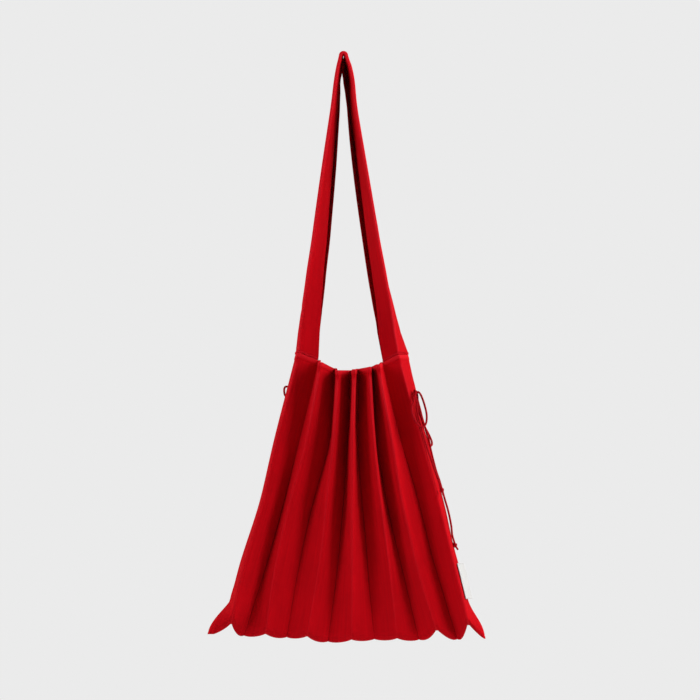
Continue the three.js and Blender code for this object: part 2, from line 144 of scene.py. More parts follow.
cameraSettings = {
    "distance": 8.0,
    "middle": (0.0075, 0.0, -0.3405),  # the centre of the picture, at the bag
    "width": 0.8106,  # seen across the picture, at the bag
}


def setCamera():
    data = bpy.data.cameras.new("camera")
    camera = bpy.data.objects.new("camera", data)
    scene.collection.objects.link(camera)
    x, y, z = cameraSettings["middle"]
    camera.location = (x, y - cameraSettings["distance"], z)
    camera.rotation_euler = (math.pi / 2, 0, 0)
    data.sensor_width = 36
    data.lens = data.sensor_width * cameraSettings["distance"] / cameraSettings["width"]
    data.clip_end = 60
    scene.camera = camera


setCamera()
print("camera set")


# materials: node helpers and the groups that more than one finish uses

def addNode(tree, kind, inputs=None, **settings):
    node = tree.nodes.new(kind)
    for key, value in settings.items():
        setattr(node, key, value)
    for key, value in (inputs or {}).items():
        if isinstance(value, bpy.types.NodeSocket):
            tree.links.new(value, node.inputs[key])
        else:
            node.inputs[key].default_value = value
    return node


def calc(tree, operation, a, b=None, c=None):
    inputs = {i: v for i, v in enumerate((a, b, c)) if v is not None}
    return addNode(tree, "ShaderNodeMath", inputs, operation=operation).outputs[0]


# an input is given as its kind or, when it is a number, as its first value
def newGroup(name, inputs, outputs):
    group = bpy.data.node_groups.new(name, "ShaderNodeTree")
    for label, value in inputs.items():
        kind = value if isinstance(value, str) else "Float"
        socket = group.interface.new_socket(label, in_out="INPUT", socket_type="NodeSocket" + kind)
        if value != kind:
            socket.default_value = value
    for label, kind in outputs.items():
        group.interface.new_socket(label, in_out="OUTPUT", socket_type="NodeSocket" + kind)
    return group, addNode(group, "NodeGroupInput"), addNode(group, "NodeGroupOutput")


def useGroup(tree, group, **inputs):
    return addNode(tree, "ShaderNodeGroup", inputs, node_tree=group)


def mixColors(tree, share, a, b, **settings):
    return addNode(tree, "ShaderNodeMix", {0: share, 6: a, 7: b}, data_type="RGBA", **settings).outputs[2]


# rows of small V-shaped stitches in columns, from flat distances in metres
def makeKnitStitch():
    group, given, out = newGroup(
        "knitStitch",
        {"Cloth": "Vector", "Wale": 0.0015, "Course": 0.001, "Lean": 0.9},
        {"Height": "Float", "Valley": "Float"},
    )
    split = addNode(group, "ShaderNodeSeparateXYZ", {0: given.outputs["Cloth"]})
    column = calc(group, "DIVIDE", split.outputs["X"], given.outputs["Wale"])
    row = calc(group, "DIVIDE", split.outputs["Y"], given.outputs["Course"])
    side = calc(group, "ABSOLUTE", calc(group, "SUBTRACT", calc(group, "FRACT", column), 0.5))
    side = calc(group, "MULTIPLY", side, 2.0)
    slant = calc(group, "MULTIPLY_ADD", side, given.outputs["Lean"], row)
    along = calc(group, "SUBTRACT", calc(group, "FRACT", slant), 0.5)
    along = calc(group, "MULTIPLY", along, 2.0)
    round1 = calc(group, "SUBTRACT", 1.0, calc(group, "MULTIPLY", along, along))
    leg = calc(group, "MULTIPLY_ADD", side, 2.0, -1.0)
    round2 = calc(group, "SUBTRACT", 1.0, calc(group, "MULTIPLY", leg, leg))
    height = calc(group, "MULTIPLY", round2, calc(group, "MULTIPLY_ADD", round1, 0.45, 0.55))
    group.links.new(height, out.inputs["Height"])
    group.links.new(calc(group, "SUBTRACT", 1.0, round2), out.inputs["Valley"])
    return group


# uneven dye, streaks along the columns of the knit and a painted highlight laid on by a mask
def makeYarnTone():
    group, given, out = newGroup(
        "yarnTone",
        {"Cloth": "Vector", "Color": "Color", "Deep": "Color", "Bloom": "Color",
         "Wear": 0.0, "Streaks": 0.3, "Across": 520.0, "Along": 14.0},
        {"Color": "Color", "Mottle": "Float"},
    )
    split = addNode(group, "ShaderNodeSeparateXYZ", {0: given.outputs["Cloth"]})
    long = addNode(group, "ShaderNodeCombineXYZ", {
        0: calc(group, "MULTIPLY", split.outputs["X"], given.outputs["Across"]),
        1: calc(group, "MULTIPLY", split.outputs["Y"], given.outputs["Along"]),
    })
    streak = addNode(group, "ShaderNodeTexNoise", {"Vector": long.outputs[0], "Scale": 1.0, "Detail": 2.0})
    object_ = addNode(group, "ShaderNodeTexCoord")
    cloud = addNode(group, "ShaderNodeTexNoise", {
        "Vector": object_.outputs["Object"], "Scale": 26.0, "Detail": 3.0, "Roughness": 0.6,
    })
    strength = calc(group, "SUBTRACT", streak.outputs["Fac"], 0.5)
    strength = calc(group, "MULTIPLY", strength, given.outputs["Streaks"])
    broad = calc(group, "MULTIPLY", calc(group, "SUBTRACT", cloud.outputs["Fac"], 0.5), 0.5)
    share = calc(group, "ADD", calc(group, "ADD", strength, broad), 0.5)
    toned = mixColors(group, share, given.outputs["Deep"], given.outputs["Color"], clamp_factor=True)
    paintedHighlight = mixColors(group, given.outputs["Wear"], toned, given.outputs["Bloom"], clamp_factor=True)
    group.links.new(paintedHighlight, out.inputs["Color"])
    group.links.new(cloud.outputs["Fac"], out.inputs["Mottle"])
    return group


# two sets of strands crossing on a slant, round a cord or through a tape
def makeCrossing():
    group, given, out = newGroup(
        "crossing",
        {"Cloth": "Vector", "Pitch": 0.001, "Slant": 1.0},
        {"Height": "Float"},
    )
    split = addNode(group, "ShaderNodeSeparateXYZ", {0: given.outputs["Cloth"]})
    u = calc(group, "DIVIDE", split.outputs["X"], given.outputs["Pitch"])
    v = calc(group, "DIVIDE", split.outputs["Y"], given.outputs["Pitch"])
    lean = calc(group, "MULTIPLY", v, given.outputs["Slant"])
    one = calc(group, "SINE", calc(group, "MULTIPLY", calc(group, "ADD", u, lean), math.pi))
    two = calc(group, "SINE", calc(group, "MULTIPLY", calc(group, "SUBTRACT", u, lean), math.pi))
    height = calc(group, "ABSOLUTE", calc(group, "MULTIPLY", one, two))
    group.links.new(height, out.inputs["Height"])
    return group


knitStitch = makeKnitStitch()
yarnTone = makeYarnTone()
crossing = makeCrossing()

redTones = {
    "knit": (0.68, 0.002, 0.008, 1),
    "knitDeep": (0.44, 0.001, 0.005, 1),
    # the colour of the painted highlight on the folds
    "highlightTone": (0.92, 0.02, 0.035, 1),
    "seam": (0.9, 0.01, 0.024, 1),
    "seamDeep": (0.62, 0.003, 0.01, 1),
    "cord": (0.55, 0.006, 0.014, 1),
    "cordDeep": (0.34, 0.002, 0.007, 1),
}

labelTones = {
    "tape": (0.64, 0.635, 0.62, 1),
    "tapeDeep": (0.54, 0.535, 0.52, 1),
    "highlightTone": (0.9, 0.9, 0.9, 1),
}

# its lengths are in metres
knitFinish = {
    "rough": 0.82,
    "sheen": 0.06,
    "sheenTint": (1.0, 0.08, 0.1, 1),
    "wale": 0.0016,  # from one column of stitches to the next
    "course": 0.0011,  # from one row to the next
    "lean": 0.9,
    "streaks": 0.9,
    # how strong the painted highlight on the folds is
    "highlight": 0.5,
    "stitchShade": -0.28,
    "valleyShadeStrength": -0.6,  # how dark the painted shade in an inner fold is
    "mottleRelief": 0.0012,
    "stitchRelief": 0.0003,
}

yarnFinish = {
    "sheen": 0.04,
    "sheenTint": (1.0, 0.12, 0.14, 1),
    "streaks": 0.8,
    "relief": 0.0003,
}


def startMaterial(name, rough, sheen, sheenTint=(1, 1, 1, 1)):
    material = bpy.data.materials.new(name)
    material.use_nodes = True
    tree = material.node_tree
    shader = tree.nodes["Principled BSDF"]
    shader.inputs["Roughness"].default_value = rough
    shader.inputs["Specular IOR Level"].default_value = 0.03
    shader.inputs["Sheen Weight"].default_value = sheen
    shader.inputs["Sheen Roughness"].default_value = 0.45
    shader.inputs["Sheen Tint"].default_value = sheenTint
    cloth = addNode(tree, "ShaderNodeUVMap", uv_map="cloth")
    return material, tree, shader, cloth.outputs["UV"]


def bumpInto(tree, shader, height, distance, strength=1.0, before=None):
    bump = addNode(tree, "ShaderNodeBump", {"Height": height, "Distance": distance, "Strength": strength})
    if before is not None:
        tree.links.new(before, bump.inputs["Normal"])
    if shader is not None:
        tree.links.new(bump.outputs["Normal"], shader.inputs["Normal"])
    return bump.outputs["Normal"]


def makeKnitMaterial():
    facts = knitFinish
    material, tree, shader, cloth = startMaterial(
        "redKnit", facts["rough"], facts["sheen"], facts["sheenTint"])
    # painted highlight on the outer folds, the mouth's edge and the strap's corner folds, read from the mesh
    paintedHighlight = addNode(tree, "ShaderNodeAttribute", attribute_name="foldWear")
    valleyShadeMask = addNode(tree, "ShaderNodeAttribute", attribute_name="valleyShade")
    highlight = calc(tree, "MULTIPLY", paintedHighlight.outputs["Fac"], facts["highlight"])
    tone = useGroup(tree, yarnTone, Cloth=cloth, Color=redTones["knit"], Deep=redTones["knitDeep"],
                    Bloom=redTones["highlightTone"], Wear=highlight, Streaks=facts["streaks"])
    stitch = useGroup(tree, knitStitch, Cloth=cloth, Wale=facts["wale"], Course=facts["course"],
                      Lean=facts["lean"])
    shade = calc(tree, "MULTIPLY_ADD", stitch.outputs["Valley"], facts["stitchShade"], 1.0)
    # painted shade in the inner folds darkens the colour here
    fold = calc(tree, "MULTIPLY_ADD", valleyShadeMask.outputs["Fac"], facts["valleyShadeStrength"], 1.0)
    shade = calc(tree, "MULTIPLY", shade, fold)
    dark = mixColors(tree, 1.0, tone.outputs["Color"], shade, blend_type="MULTIPLY")
    tree.links.new(dark, shader.inputs["Base Color"])
    rough = calc(tree, "MULTIPLY_ADD", tone.outputs["Mottle"], 0.2, facts["rough"] - 0.1)
    tree.links.new(rough, shader.inputs["Roughness"])
    soft = bumpInto(tree, None, tone.outputs["Mottle"], facts["mottleRelief"], 0.5)
    bumpInto(tree, shader, stitch.outputs["Height"], facts["stitchRelief"], 0.6, soft)
    return material


def makeYarnMaterial(name, color, deep, pitch, slant, rough):
    facts = yarnFinish
    material, tree, shader, cloth = startMaterial(name, rough, facts["sheen"], facts["sheenTint"])
    tone = useGroup(tree, yarnTone, Cloth=cloth, Color=color, Deep=deep, Bloom=redTones["highlightTone"],
                    Wear=0.0, Streaks=facts["streaks"], Across=900.0, Along=300.0)
    braid = useGroup(tree, crossing, Cloth=cloth, Pitch=pitch, Slant=slant)
    shade = calc(tree, "MULTIPLY_ADD", braid.outputs["Height"], 0.35, 0.72)
    dark = mixColors(tree, 1.0, tone.outputs["Color"], shade, blend_type="MULTIPLY")
    tree.links.new(dark, shader.inputs["Base Color"])
    roughNow = calc(tree, "MULTIPLY_ADD", tone.outputs["Mottle"], 0.15, rough - 0.07)
    tree.links.new(roughNow, shader.inputs["Roughness"])
    bumpInto(tree, shader, braid.outputs["Height"], facts["relief"], 0.8)
    return material


def makeLabelMaterial():
    material, tree, shader, cloth = startMaterial("labelTape", 0.6, 0.1)
    tone = useGroup(tree, yarnTone, Cloth=cloth, Color=labelTones["tape"], Deep=labelTones["tapeDeep"],
                    Bloom=labelTones["highlightTone"], Wear=0.0, Streaks=0.5, Across=3000.0, Along=200.0)
    weave = useGroup(tree, crossing, Cloth=cloth, Pitch=0.0006, Slant=1.0)
    tree.links.new(tone.outputs["Color"], shader.inputs["Base Color"])
    rough = calc(tree, "MULTIPLY_ADD", weave.outputs["Height"], -0.15, 0.65)
    tree.links.new(rough, shader.inputs["Roughness"])
    bumpInto(tree, shader, weave.outputs["Height"], 0.0001, 0.7)
    return material


redKnit = makeKnitMaterial()
seamYarn = makeYarnMaterial("seamYarn", redTones["seam"], redTones["seamDeep"], 0.0009, 0.5, 0.7)
braidedCord = makeYarnMaterial("braidedCord", redTones["cord"], redTones["cordDeep"], 0.00115, 0.8, 0.62)
labelTape = makeLabelMaterial()
print("materials made")


# the cords of the two bows, each from its knot along its route, in millimetres

cordSettings = {
    "diameter": 2.4,
    "sides": 12,
    "step": 1.3,
    "bowKnot": 6.4,
    "endKnot": 7.0,
    "stub": 6.5,  # the bare end past an end knot
    "stubBend": 0.8,
    "knotSteps": 36,
    "knotTilt": (0.6, 0.9),
    "pulledTight": 0.86,  # how thick the cord still is inside a knot, as a share
}

cordRoutes = {
    "right_round_loop": [
        (85.5, -19.5, -388.9), (87.0, -20.4, -389.4), (89.2, -21.0, -392.2), (91.8, -21.0, -398.4),
        (94.1, -21.3, -405.9), (95.8, -21.8, -413.4), (96.1, -22.2, -419.8), (95.3, -23.0, -425.0),
        (92.8, -26.0, -428.8), (89.2, -28.0, -429.2), (85.8, -28.6, -426.4), (82.3, -29.4, -421.5),
        (79.9, -29.8, -415.8), (78.7, -29.8, -410.5), (78.9, -29.6, -405.3), (80.6, -29.0, -400.7),
        (82.0, -27.8, -396.1), (82.9, -25.6, -391.9), (83.3, -23.2, -389.9), (83.5, -21.2, -389.3),
    ],
    "right_long_loop": [
        (85.0, -15.6, -390.5), (85.4, -12.2, -395.0), (85.2, -9.0, -401.0), (86.0, -6.0, -409.0),
        (88.2, -4.0, -418.0), (92.4, -3.4, -426.5), (96.9, -3.6, -434.6), (100.4, -5.4, -441.8),
        (102.2, -8.0, -447.0), (101.9, -11.4, -450.6), (99.9, -14.0, -450.9), (99.3, -15.4, -447.2),
        (97.9, -15.9, -440.8), (95.6, -16.0, -433.6), (92.8, -16.2, -426.6), (90.0, -16.8, -419.0),
        (86.8, -17.2, -411.0), (85.8, -17.8, -403.6), (85.6, -18.6, -397.0), (85.4, -18.8, -393.4),
        (84.9, -18.4, -391.4),
    ],
    "right_long_tail": [
        (83.6, -14.0, -388.5), (84.6, -11.2, -389.6), (84.9, -7.2, -394.2), (86.6, -3.6, -401.5),
        (89.0, -1.2, -410.5), (91.4, 0.2, -420.0), (94.4, 0.6, -430.0), (97.4, 0.4, -440.0),
        (99.9, -0.4, -449.5), (101.2, -1.0, -456.5), (106.7, -2.0, -478.4), (111.4, -3.0, -492.6),
        (116.6, -4.0, -511.0), (120.8, -4.6, -525.5), (122.9, -4.8, -534.5), (124.8, -5.0, -545.0),
        (125.8, -5.0, -554.6), (127.8, -5.0, -561.6), (128.5, -5.0, -564.0),
    ],
    "right_short_tail": [
        (82.7, -19.6, -391.5), (83.4, -21.6, -394.4), (84.0, -23.2, -397.6), (84.4, -24.2, -404.2),
        (85.1, -24.6, -411.1), (86.5, -24.6, -418.1), (88.4, -24.4, -425.0), (90.2, -24.4, -432.0),
        (92.1, -24.4, -438.9), (94.1, -24.4, -445.9), (96.7, -24.4, -454.0), (99.5, -24.4, -462.1),
        (102.3, -24.4, -470.2), (105.0, -24.4, -478.3), (108.0, -24.4, -486.4), (110.6, -24.4, -493.3),
        (112.4, -24.4, -499.1),
    ],
    "left_round_loop": [
        (-60.2, 29.3, -386.2), (-63.0, 28.8, -384.0), (-65.8, 26.6, -383.0), (-67.6, 23.0, -383.4),
        (-68.6, 19.4, -384.8), (-68.9, 16.4, -387.0), (-68.8, 15.2, -389.4), (-68.4, 16.4, -391.6),
        (-68.0, 19.4, -393.0), (-67.4, 23.2, -393.6), (-66.4, 26.6, -393.4), (-65.0, 29.0, -392.4),
        (-63.4, 29.8, -391.0), (-61.6, 29.8, -390.2),
    ],
    "left_long_loop": [
        (-59.1, 28.7, -392.1), (-58.9, 29.6, -397.0), (-58.8, 30.4, -404.0), (-59.2, 30.8, -412.0),
        (-59.6, 31.2, -420.0), (-60.0, 31.6, -428.0), (-60.6, 32.0, -436.0), (-61.8, 32.4, -443.0),
        (-64.0, 32.6, -447.6), (-67.0, 32.6, -448.0), (-69.0, 32.4, -444.0), (-69.0, 32.0, -438.0),
        (-68.0, 31.6, -430.0), (-66.8, 31.2, -422.0), (-65.6, 30.8, -414.0), (-64.2, 30.6, -406.0),
        (-62.6, 31.6, -399.5), (-61.4, 32.6, -394.6), (-60.0, 31.6, -390.9),
    ],
    "left_long_tail": [
        (-56.6, 30.0, -391.1), (-55.6, 30.4, -393.2), (-55.0, 30.2, -397.4), (-54.8, 30.0, -404.0),
        (-54.8, 30.6, -414.0), (-55.0, 31.8, -426.0), (-55.2, 33.0, -438.0), (-55.4, 34.2, -450.0),
        (-55.6, 35.4, -462.0), (-55.8, 36.4, -474.0), (-55.9, 37.0, -486.0), (-56.0, 37.2, -498.0),
        (-56.0, 37.0, -510.0), (-56.1, 36.6, -522.0), (-56.2, 36.2, -534.0), (-56.2, 35.8, -546.0),
        (-56.3, 35.5, -556.0), (-56.3, 35.2, -565.0),
    ],
    "left_short_tail": [
        (-55.6, 28.7, -388.7), (-53.6, 28.4, -389.3), (-51.8, 28.4, -392.0), (-50.8, 29.0, -396.0),
        (-50.2, 30.4, -404.0), (-50.0, 31.8, -413.0), (-50.0, 33.2, -422.0), (-50.0, 34.6, -431.0),
        (-50.0, 36.0, -440.0), (-50.1, 37.0, -449.0), (-50.2, 37.8, -458.0), (-50.3, 38.2, -467.0),
        (-50.4, 38.2, -476.0), (-50.4, 38.0, -484.0), (-50.5, 37.6, -491.0), (-50.5, 37.2, -496.0),
    ],
}

# the size of each knot, its centre, its stretch along X, Y and Z, and which way its bare end points
knotTable = {
    "right_bow_knot": ("bowKnot", (83.0, -17.6, -388.9), (0.8, 1.0, 0.85), None),
    "right_long_tail_knot": ("endKnot", (128.9, -5.0, -566.3), (0.9, 0.9, 1.0), (0.55, -0.1, -0.8)),
    "right_short_tail_knot": ("endKnot", (113.4, -24.4, -502.1), (0.9, 0.9, 1.0), (0.3, -0.2, -0.9)),
    "left_bow_knot": ("bowKnot", (-58.8, 29.0, -389.0), (0.9, 0.8, 0.85), None),
    "left_long_tail_knot": ("endKnot", (-56.3, 35.1, -567.8), (0.9, 0.9, 1.0), (-0.2, 0.2, -0.95)),
    "left_short_tail_knot": ("endKnot", (-50.5, 37.0, -498.8), (0.9, 0.9, 1.0), (0.2, 0.1, -0.95)),
}


# a smooth line through the chosen points, cut into even steps
def smoothLine(points, step, closed=False):
    knots = [Vector(p) for p in points]
    count = len(knots)
    fine = []
    spans = count if closed else count - 1
    for i in range(spans):
        b, c = knots[i], knots[(i + 1) % count]
        a = knots[i - 1] if (i or closed) else 2 * b - c
        d = knots[(i + 2) % count] if (i + 2 < count or closed) else 2 * c - b
        fine += [passThrough(a, b, c, d, k / 12) for k in range(12)]
    fine.append(knots[0].copy() if closed else knots[-1].copy())
    lengths = lengthsAlong(fine)
    steps = max(4, round(lengths[-1] / step))
    line, i = [], 0
    for k in range(steps + 1):
        goal = lengths[-1] * k / steps
        while i + 2 < len(lengths) and lengths[i + 1] < goal:
            i += 1
        span = lengths[i + 1] - lengths[i]
        line.append(fine[i].lerp(fine[i + 1], clamp((goal - lengths[i]) / span if span else 0)))
    return line, lengths[-1]


# one frame for each point of a line, turned as little as possible from one to the next
def framesAlong(line, closed=False):
    count = len(line)
    tangents = []
    for i in range(count):
        if closed and i in (0, count - 1):
            tangents.append((line[1] - line[-2]).normalized())
        else:
            tangents.append((line[min(i + 1, count - 1)] - line[max(i - 1, 0)]).normalized())
    side = tangents[0].orthogonal().normalized()
    frames = []
    for i, tangent in enumerate(tangents):
        if i:
            side = tangents[i - 1].rotation_difference(tangent) @ side
            side = (side - tangent * side.dot(tangent)).normalized()
        frames.append((side, tangent.cross(side)))
    return frames


def tubeAlong(name, line, radius, sides, closed=False):
    frames = framesAlong(line, closed)
    twist = 0.0
    if closed:  # spread the small turn left over at the join
        first, last = frames[0], frames[-1]
        twist = -math.atan2(last[0].dot(first[1]), last[0].dot(first[0]))
    rows = len(line) - 1 if closed else len(line) + 1
    lengths = lengthsAlong(line)

    def at(r):
        return r if closed else min(max(r - 1, 0), len(line) - 1)

    def place(c, r):
        i = at(r)
        capped = not closed and r in (0, rows)
        angle = 2 * math.pi * c / sides - (twist * i / (len(line) - 1) if closed else 0)
        across, up = frames[i]
        return line[i] + (across * math.cos(angle) + up * math.sin(angle)) * (0 if capped else radius)

    def flat(c, r):
        return 2 * math.pi * radius * c / sides, lengths[at(r)]

    obj, _ = layCloth(name, sides, rows, place, flat)
    closeUp(obj, 0.005)
    return obj


# a tight overhand knot: the cord runs through a small three-lobed figure
def tieKnot(name, size, place, stretch, stub):
    radius = cordSettings["diameter"] / 2
    reach = cordSettings[size] / 2 - radius * 0.72
    steps = cordSettings["knotSteps"]
    figure = []
    for k in range(steps):
        t = 2 * math.pi * k / steps
        x = math.sin(t) + 2 * math.sin(2 * t)
        y = math.cos(t) - 2 * math.cos(2 * t)
        figure.append(Vector((x, y, -1.6 * math.sin(3 * t))) / 3 * reach)
    tiltX, tiltY = cordSettings["knotTilt"]
    tilt = Matrix.Rotation(tiltX, 3, "X") @ Matrix.Rotation(tiltY, 3, "Y")
    middle = Vector(place)
    points = [middle + Vector(a * s for a, s in zip(tilt @ p, stretch)) for p in figure]
    line, _ = smoothLine(points, 0.8, closed=True)
    knot = tubeAlong(name, line, radius * cordSettings["pulledTight"], 10, closed=True)
    if stub:
        away = Vector(stub).normalized()
        bend = Vector((away.y, -away.x, 0)) * cordSettings["stubBend"]
        end = [middle, middle + away * 2.6 + bend * 0.4, middle + away * cordSettings["stub"] + bend]
        line, _ = smoothLine(end, 0.9)
        joinTo(knot, tubeAlong(name + "_stub", line, radius * 0.92, 10))
    return knot


knotPieces = {}
for name, facts in knotTable.items():
    knot = tieKnot(name + "_tied", *facts)
    knot.data.materials.append(braidedCord)
    smooth(knot, 60)
    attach(knot, "root")
    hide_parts(name)
    knotPieces[name] = knot

for name, route in cordRoutes.items():
    line, length = smoothLine(route, cordSettings["step"])
    cord = tubeAlong(name + "_cord", line, cordSettings["diameter"] / 2, cordSettings["sides"])
    cord.data.materials.append(braidedCord)
    smooth(cord, 60)
    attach(cord, "root")
    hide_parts(name)
    hand = name.split("_")[0]
    tail = name.endswith("tail")
    knot = knotPieces[name + "_knot"] if tail else knotPieces[hand + "_bow_knot"]
print("bows tied")


# the pleated body

bodyShape = {
    "wall": 1.7,
    "foldRadius": 1.5,
    "sideFoldRadius": 6.0,
    "strapDrop": 344.0,
    "height": 314.0,
    "mouthWidth": 120.0,
    "hemWidth": 280.0,
    "offset": 6.0,
    "mouthSag": 20.0,
    "scallop": 20.0,
    "hemRound": 12.0,
    "hemSquareness": 2.4,
    "pleat": 28.0,
    "hemFlat": 0.85,  # how much of the pleats' depth is left at the hem
    "leastPleat": 7.0,
    "sideFold": 25.0,
    "valleyAtMouth": 16.0,
    "valleyAtHem": 3.5,
    "lobe": 1.9,  # how far the hem of each panel hangs below its creases
    "rimDepth": 5.4,  # the turned edge of the mouth
    "rimProud": 0.55,
    "hemLine": 3.8,  # the linked seam above each lobe
    "hemLineDepth": 0.35,
    "pillow": 0.9,  # how far a panel may swell or sink
    "sidePillow": 0.25,
    "wander": 0.5,  # how far a crease strays
    "rimWear": 0.85,  # how strong the painted highlight on the turned edge is
    "highlightAtMouth": 0.9,  # how strong the painted highlight on the outer folds is, at the mouth
    "highlightBelow": 0.3,
    "highlightFade": 0.35,  # the share of the way down over which the first becomes the second
    "valleyShadeFade": 0.6,  # the share of the way down at which the painted shade in the inner folds is darkest
    "flatHeight": 326.0,
    "roundSteps": 5,
    "acrossShares": (0.035, 0.2, 0.36, 0.5, 0.64, 0.8, 0.965),
    "outerRows": 84,
    "innerRows": 34,
    "rimRows": (0.6, 1.5, 2.8, 4.2, 5.0, 5.5, 6.0, 6.6, 8.0),  # below the mouth's edge
    # shares of the rounding at the hem
    "turnRows": (0.06, 0.14, 0.24, 0.36, 0.48, 0.6, 0.7, 0.78, 0.85, 0.91, 0.96, 0.985, 1.0),
    "edgeRows": (180, 150, 120, 90, 60, 30, 0),  # degrees over the edge of the mouth
}

# points outwards, place across at five levels, dip of the mouth, drop of the hem
foldTable = [
    (True, 0.007, 0.006, 0.014, 0.0, 0.005, 0.0, 0.0),
    (False, 0.212, 0.168, 0.14, 0.111, 0.08, 0.41, 0.66),
    (True, 0.239, 0.22, 0.176, 0.156, 0.162, 0.53, 0.58),
    (False, 0.373, 0.375, 0.303, 0.267, 0.252, 0.88, 0.75),
    (True, 0.404, 0.399, 0.378, 0.36, 0.334, 1.0, 0.72),
    (False, 0.519, 0.495, 0.471, 0.447, 0.422, 1.0, 1.0),
    (True, 0.55, 0.526, 0.518, 0.516, 0.512, 0.94, 0.9),
    (False, 0.581, 0.56, 0.575, 0.589, 0.601, 0.91, 0.86),
    (True, 0.681, 0.668, 0.676, 0.691, 0.694, 0.82, 0.83),
    (False, 0.699, 0.682, 0.709, 0.748, 0.777, 0.79, 0.89),
    (True, 0.771, 0.788, 0.799, 0.821, 0.859, 0.65, 0.37),
    (False, 0.816, 0.85, 0.889, 0.906, 0.931, 0.53, 0.87),
    (True, 0.99, 1.002, 1.009, 1.006, 1.002, 0.09, 0.06),
]
foldCount = len(foldTable)
circleCount = 2 * foldCount + 2
sidePanels = (foldCount - 1, foldCount, circleCount - 2, circleCount - 1)

# bulge: how far the side stands out of its corner folds at chosen heights, as a share of sideFold;
# flare: how much further the ear reaches between two heights
sideTable = {
    -1: {"bulge": [(0.0, 0.13), (0.5, 0.15), (0.84, 0.23), (0.9, 0.27), (1.05, 0.3)],
         "flare": 0.66, "from": 0.915, "to": 1.03, "ease": 1.2, "sag": 0.1, "drop": 0.58},
    1: {"bulge": [(0.0, 0.44), (0.11, 0.39), (0.26, 0.255), (0.33, 0.275), (0.42, 0.25), (0.55, 0.235),
                  (0.7, 0.18), (0.84, 0.22), (0.9, 0.235), (1.05, 0.2)],
        "flare": 0.42, "from": 0.9, "to": 1.03, "ease": 2.2, "sag": 0.1, "drop": 0.84},
}


def heightOf(z):
    return (-z - bodyShape["strapDrop"]) / bodyShape["height"]


def acrossAt(i, height):
    places = foldTable[i][1:6]
    at = (height - 0.06) / 0.24
    k = min(3, max(0, math.floor(at)))
    u = at - k
    b, c = places[k], places[k + 1]
    if u < 0 or u > 1:
        return mix(b, c, u)
    a = places[k - 1] if k else 2 * b - c
    d = places[k + 2] if k + 2 < 5 else 2 * c - b
    return passThrough(a, b, c, d, u)


# the circles of the back use the front's folds, in the other order
def foldOf(i):
    return i if i < foldCount else circleCount - 2 - i


def isFold(i):
    return i < circleCount and i not in (foldCount, circleCount - 1)


def foldX(i, height, back=False):
    width = mix(bodyShape["mouthWidth"], bodyShape["hemWidth"], height)
    x = bodyShape["offset"] + width * (acrossAt(i, height) - 0.5)
    inset = bodyShape["foldRadius"] + bodyShape["wall"] / 2
    if i == 0:
        return x + inset
    if i == foldCount - 1:
        return x - inset
    calm = ease(height / 0.08) * ease((0.97 - height) / 0.1)
    return x + bodyShape["wander"] * calm * drift(i * 3.7 + (50 if back else 0), height * 5.0)


def curve(points, x):
    for (x0, y0), (x1, y1) in zip(points, points[1:]):
        if x < x1:
            return mix(y0, y1, ease((x - x0) / (x1 - x0)))
    return points[-1][1]


def sideBulge(sign, height):
    facts = sideTable[sign]
    share = clamp((height - facts["from"]) / (facts["to"] - facts["from"]))
    flare = math.sin(share * math.pi / 2)
    return bodyShape["sideFold"] * (curve(facts["bulge"], height) + facts["flare"] * flare ** facts["ease"])


def pleatDepth(distance):
    return math.sqrt(max(bodyShape["pleat"] ** 2 - distance ** 2, bodyShape["leastPleat"] ** 2))


# The knit runs round these circles like a belt: the front folds from left to right, the right
# side, the same folds along the back, the left side. Each is x, y and the bend, below 0 for inner folds.
def circleAt(i, height):
    i %= circleCount
    if not isFold(i):
        sign, corner = (1, foldCount - 1) if i == foldCount else (-1, 0)
        radius = bodyShape["sideFoldRadius"]
        return foldX(corner, height) + sign * (sideBulge(sign, height) - radius), 0.0, radius
    back = i > foldCount
    fold = foldOf(i)
    outer = foldTable[fold][0]
    x = foldX(fold, height, back)
    depth = mix(bodyShape["valleyAtMouth"], bodyShape["valleyAtHem"], clamp(height))
    if fold in (0, foldCount - 1):
        bulge = sideBulge(-1 if fold == 0 else 1, height)
        depth = math.sqrt(bodyShape["sideFold"] ** 2 - bulge ** 2)
    elif outer:
        before = x - foldX(fold - 1, height, back)
        after = foldX(fold + 1, height, back) - x
        shut = mix(1.0, bodyShape["hemFlat"], ease((height - 0.45) / 0.5))
        depth += shut * (pleatDepth(before) + pleatDepth(after)) / 2
    bend = bodyShape["foldRadius"] if outer else -bodyShape["foldRadius"]
    y = -depth + bend
    return x, -y if back else y, bend


def runAngle(a, b):
    dx, dy = b[0] - a[0], b[1] - a[1]
    return math.atan2(dy, dx) + math.asin((a[2] - b[2]) / math.hypot(dx, dy))


def onCircle(circle, angle, outwards):
    reach = circle[2] + outwards
    return circle[0] + reach * math.sin(angle), circle[1] - reach * math.cos(angle)


# a fold may turn a little past half a turn, where the panels beside it lean over
def turnBetween(before, after, bend):
    least = -math.pi / 2 if bend > 0 else -3 * math.pi / 2
    return (after - before - least) % (2 * math.pi) + least


# column: circle number, share of the way round it, share of the way across the panel after it
bodyColumns = []
for circleNumber in range(circleCount):
    for k in range(bodyShape["roundSteps"] + 1):
        bodyColumns.append((circleNumber, k / bodyShape["roundSteps"], 0.0))
    for across in bodyShape["acrossShares"]:
        bodyColumns.append((circleNumber, 1.0, across))
bodyColumns.append((circleCount, 0.0, 0.0))  # the first one again, where the cloth closes


# on the bend round the circle here, or on the panel from it to the circle after it
def beltPoint(here, after, angles, turned, across, outwards):
    angle = angles[0] + turnBetween(*angles, here[2]) * turned
    start = onCircle(here, angle, outwards)
    if not across:
        return start
    end = onCircle(after, angles[1], outwards)
    return mix(start[0], end[0], across), mix(start[1], end[1], across)


def columnPoint(column, height, outwards):
    i, turned, across = column
    here, after, before = circleAt(i, height), circleAt(i + 1, height), circleAt(i - 1, height)
    angles = runAngle(before, here), runAngle(here, after)
    return beltPoint(here, after, angles, turned, across, outwards)


